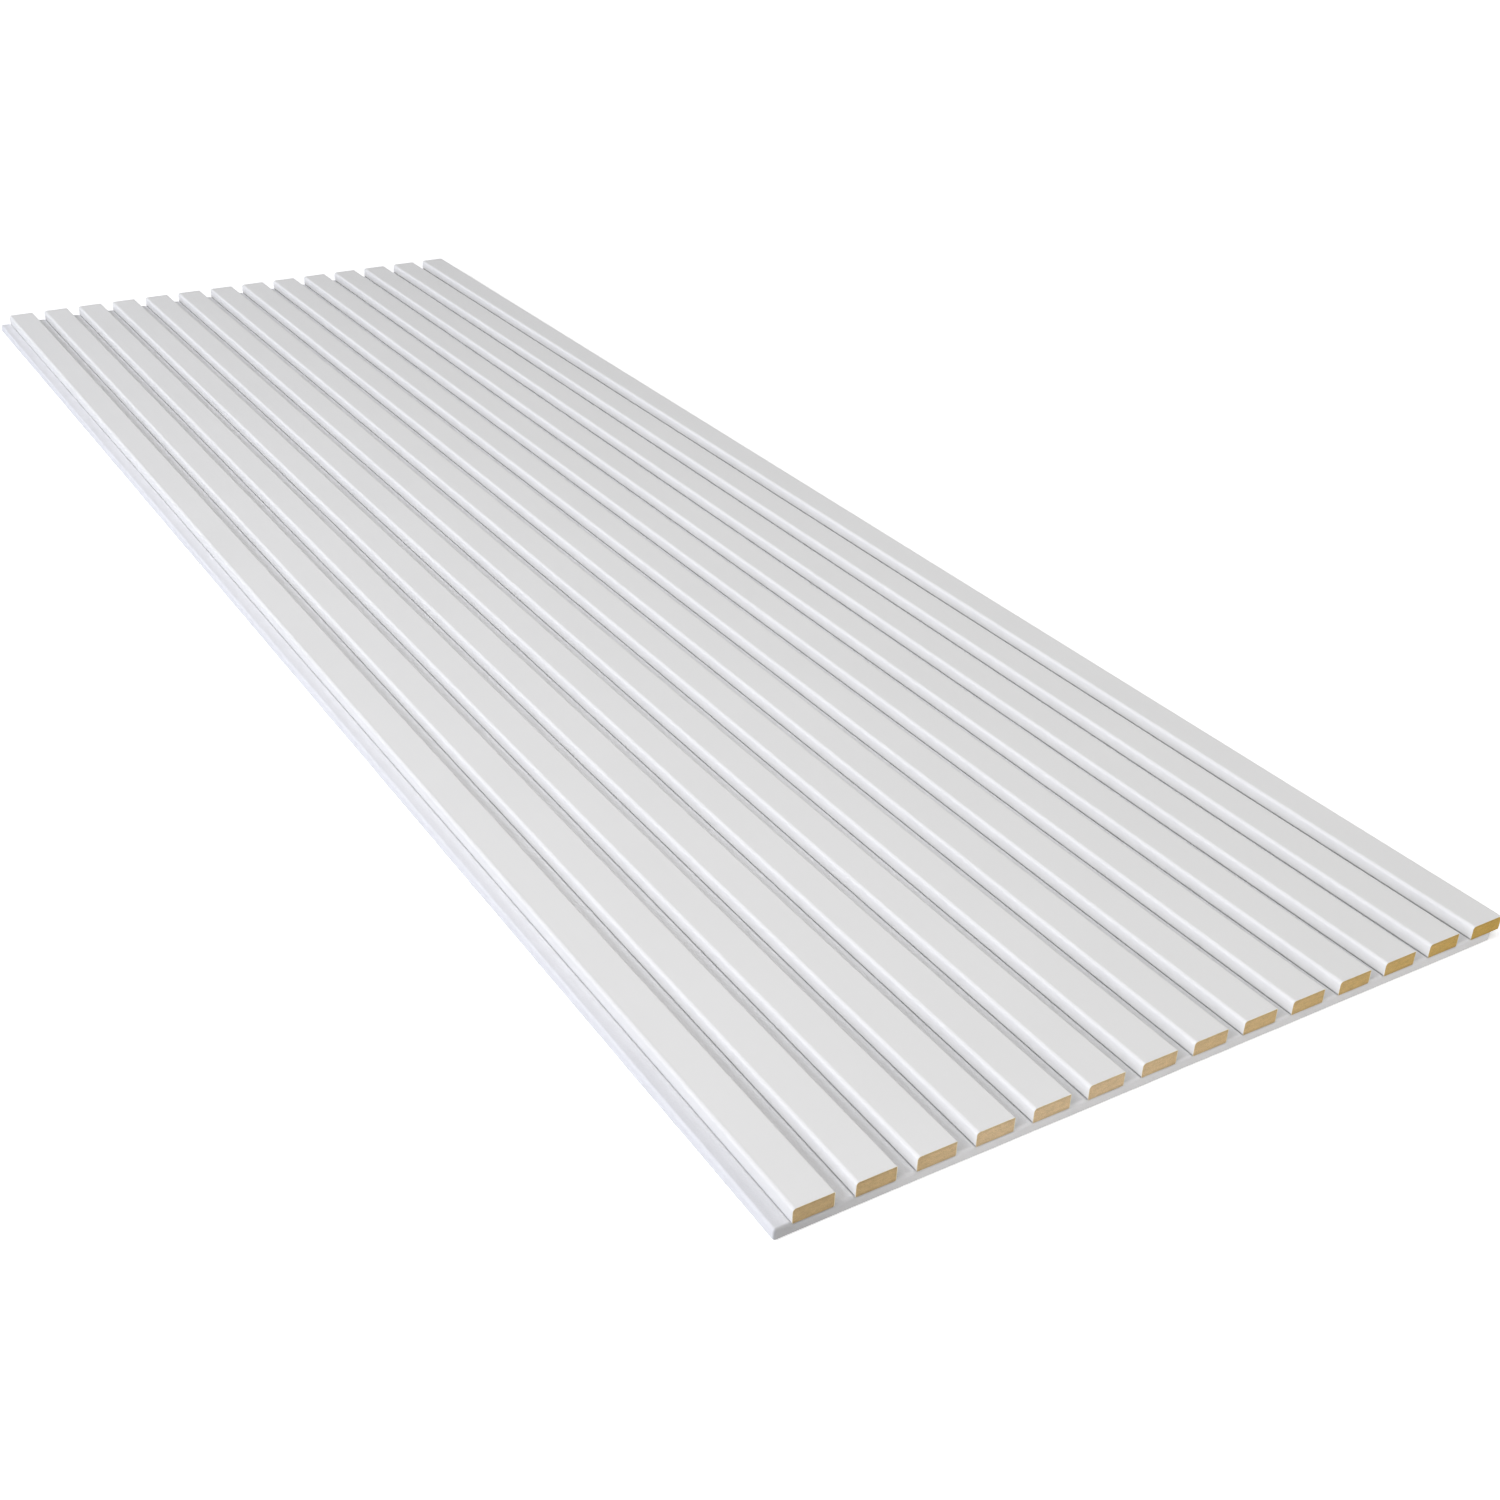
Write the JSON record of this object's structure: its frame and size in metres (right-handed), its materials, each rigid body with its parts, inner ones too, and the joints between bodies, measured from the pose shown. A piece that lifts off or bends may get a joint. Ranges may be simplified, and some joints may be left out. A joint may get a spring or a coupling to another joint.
{
  "type": "slatted acoustic panel",
  "caption": "White slatted acoustic wall panel: foil-wrapped fibreboard slats with one rounded edge, glued in parallel on a sheet of pale felt.",
  "frame": {"origin": "middle of the panel's back face, where the felt meets the wall or floor", "axes": "+Y along the slats, the near sawn end at -Y; +X across the slats, the bare felt lip at -X; +Z from the felt to the faces of the slats"},
  "size_m": [0.5998, 1.8, 0.019],
  "materials": {
    "felt": "pressed polyester felt, matt, pale cool white",
    "fibreboard": "bare medium density fibreboard, sawn",
    "white_foil": "white wrapping foil, satin"
  },
  "bodies": {
    "root": {"felt_backing": "felt", "slat_core_01": "fibreboard", "slat_core_02": "fibreboard", "slat_core_03": "fibreboard", "slat_core_04": "fibreboard", "slat_core_05": "fibreboard", "slat_core_06": "fibreboard", "slat_core_07": "fibreboard", "slat_core_08": "fibreboard", "slat_core_09": "fibreboard", "slat_core_10": "fibreboard", "slat_core_11": "fibreboard", "slat_core_12": "fibreboard", "slat_core_13": "fibreboard", "slat_core_14": "fibreboard", "slat_wrap_01": "white_foil", "slat_wrap_02": "white_foil", "slat_wrap_03": "white_foil", "slat_wrap_04": "white_foil", "slat_wrap_05": "white_foil", "slat_wrap_06": "white_foil", "slat_wrap_07": "white_foil", "slat_wrap_08": "white_foil", "slat_wrap_09": "white_foil", "slat_wrap_10": "white_foil", "slat_wrap_11": "white_foil", "slat_wrap_12": "white_foil", "slat_wrap_13": "white_foil", "slat_wrap_14": "white_foil"}
  },
  "joints": []
}
